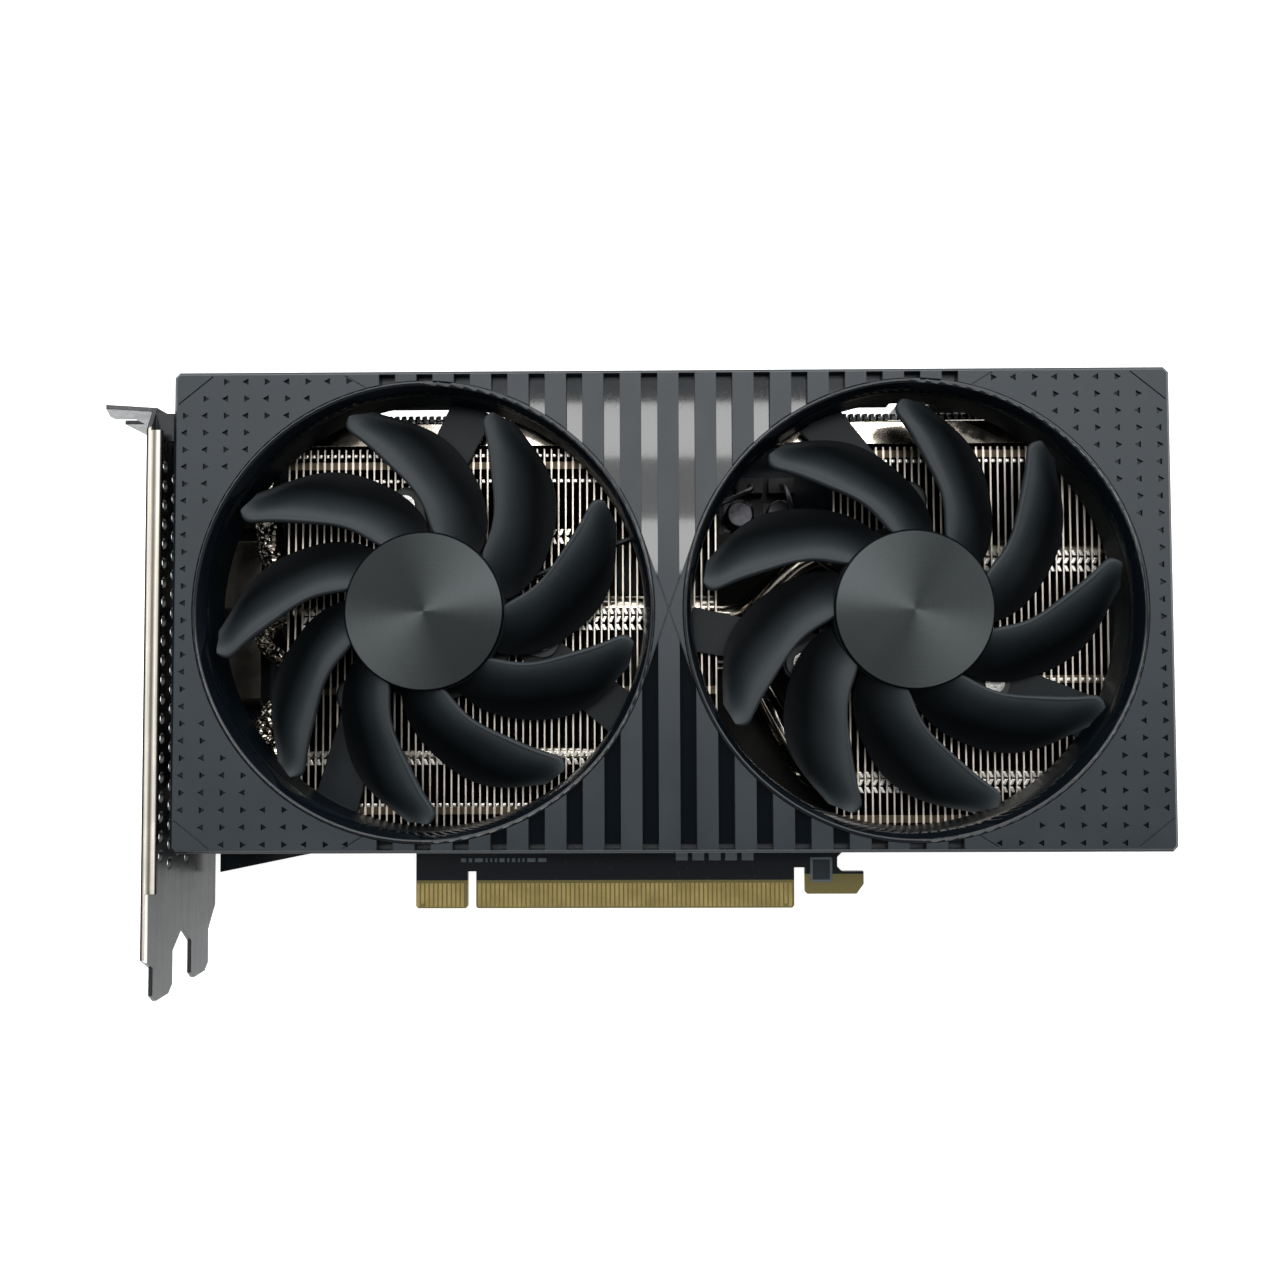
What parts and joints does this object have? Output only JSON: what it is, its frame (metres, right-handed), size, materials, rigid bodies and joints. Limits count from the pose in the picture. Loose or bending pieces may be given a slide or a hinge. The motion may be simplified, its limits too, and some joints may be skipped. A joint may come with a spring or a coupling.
{
  "type": "graphics card",
  "caption": "Dual-slot graphics card with twin axial fans, finned heat-pipe cooler, striped matte shroud, slot bracket and edge connector.",
  "frame": {"origin": "middle of the key notch at the bottom edge of the connector tongue, on the board's component face", "axes": "+X along the card away from the bracket, +Y from the edge connector towards the top edge, +Z out of the component side towards the fans"},
  "size_m": [0.215, 0.1264, 0.0394],
  "materials": {
    "board_black": "satin black solder mask",
    "gold_contacts": "hard gold plate",
    "chip_black": "moulded black epoxy",
    "silicon": "polished silicon",
    "thermal_pad": "soft grey pad",
    "can_metal": "drawn can",
    "connector_black": "moulded black",
    "pin_metal": "tin plate",
    "shell_metal": "drawn nickel-plated steel",
    "bracket_nickel": "nickel plate",
    "screw_steel": "nickel plate",
    "screw_black": "black zinc",
    "base_nickel": "nickel-plated copper",
    "frame_aluminium": "stamped aluminium",
    "pipe_nickel": "nickel-plated copper",
    "fin_aluminium": "stamped aluminium",
    "shroud_matte": "fine-grained matte dark grey",
    "shroud_gloss": "gloss black",
    "backplate_black": "satin black anodised",
    "carrier_black": "moulded black",
    "bearing_brass": "sintered bronze",
    "fan_board": "green solder mask",
    "stator_steel": "laminated steel",
    "coil_copper": "enamelled copper wire",
    "magnet_dark": "bonded ferrite",
    "rotor_black": "satin black",
    "cap_spun": "spun dark anodised",
    "connector_grey": "moulded dark grey nylon",
    "cable_black": "bundled insulated leads"
  },
  "bodies": {
    "card": {"backplate": "backplate_black", "backplate_screws": "screw_black", "base_block": "base_nickel", "bracket_screws": "screw_steel", "capacitors": "can_metal", "circuit_board": "board_black", "cooler_frame": "frame_aluminium", "cooler_screws": "screw_steel", "displayport_shells": "shell_metal", "displayport_tongues": "connector_black", "edge_contacts": "gold_contacts", "fan_base_left": "carrier_black", "fan_base_right": "carrier_black", "fan_bearing_left": "bearing_brass", "fan_bearing_right": "bearing_brass", "fan_cable_left": "cable_black", "fan_cable_right": "cable_black", "fan_circuit_left": "fan_board", "fan_circuit_right": "fan_board", "fan_coils_left": "coil_copper", "fan_coils_right": "coil_copper", "fan_headers": "connector_grey", "fan_screws_left": "screw_steel", "fan_screws_right": "screw_steel", "fan_stator_left": "stator_steel", "fan_stator_right": "stator_steel", "fin_stack_left": "fin_aluminium", "fin_stack_right": "fin_aluminium", "gpu_die": "silicon", "gpu_substrate": "chip_black", "hdmi_shell": "shell_metal", "hdmi_tongue": "connector_black", "heat_pipe_bottom": "pipe_nickel", "heat_pipe_lower": "pipe_nickel", "heat_pipe_top": "pipe_nickel", "heat_pipe_upper": "pipe_nickel", "io_bracket": "bracket_nickel", "memory_chips": "chip_black", "memory_pads": "thermal_pad", "power_chokes": "chip_black", "power_pins": "pin_metal", "power_socket": "connector_black", "power_stage_pad": "thermal_pad", "power_stages": "chip_black", "shroud_cover": "shroud_matte", "shroud_frame": "shroud_gloss", "shroud_screws": "screw_black", "spring_washers": "screw_steel"},
    "fan_left": {"fan_rotor_left": "rotor_black", "fan_shaft_left": "screw_steel", "fan_yoke_left": "stator_steel", "fan_magnet_left": "magnet_dark", "fan_cap_left": "cap_spun"},
    "fan_right": {"fan_rotor_right": "rotor_black", "fan_shaft_right": "screw_steel", "fan_yoke_right": "stator_steel", "fan_magnet_right": "magnet_dark", "fan_cap_right": "cap_spun"}
  },
  "joints": [
    {"name": "fan_left_spin", "type": "hinge", "parent": "card", "child": "fan_left", "pos_m": [-0.0047, 0.0649, 0.03], "axis": [0, 0, 1], "continuous": true},
    {"name": "fan_right_spin", "type": "hinge", "parent": "card", "child": "fan_right", "pos_m": [0.0931, 0.0649, 0.03], "axis": [0, 0, 1], "continuous": true}
  ]
}
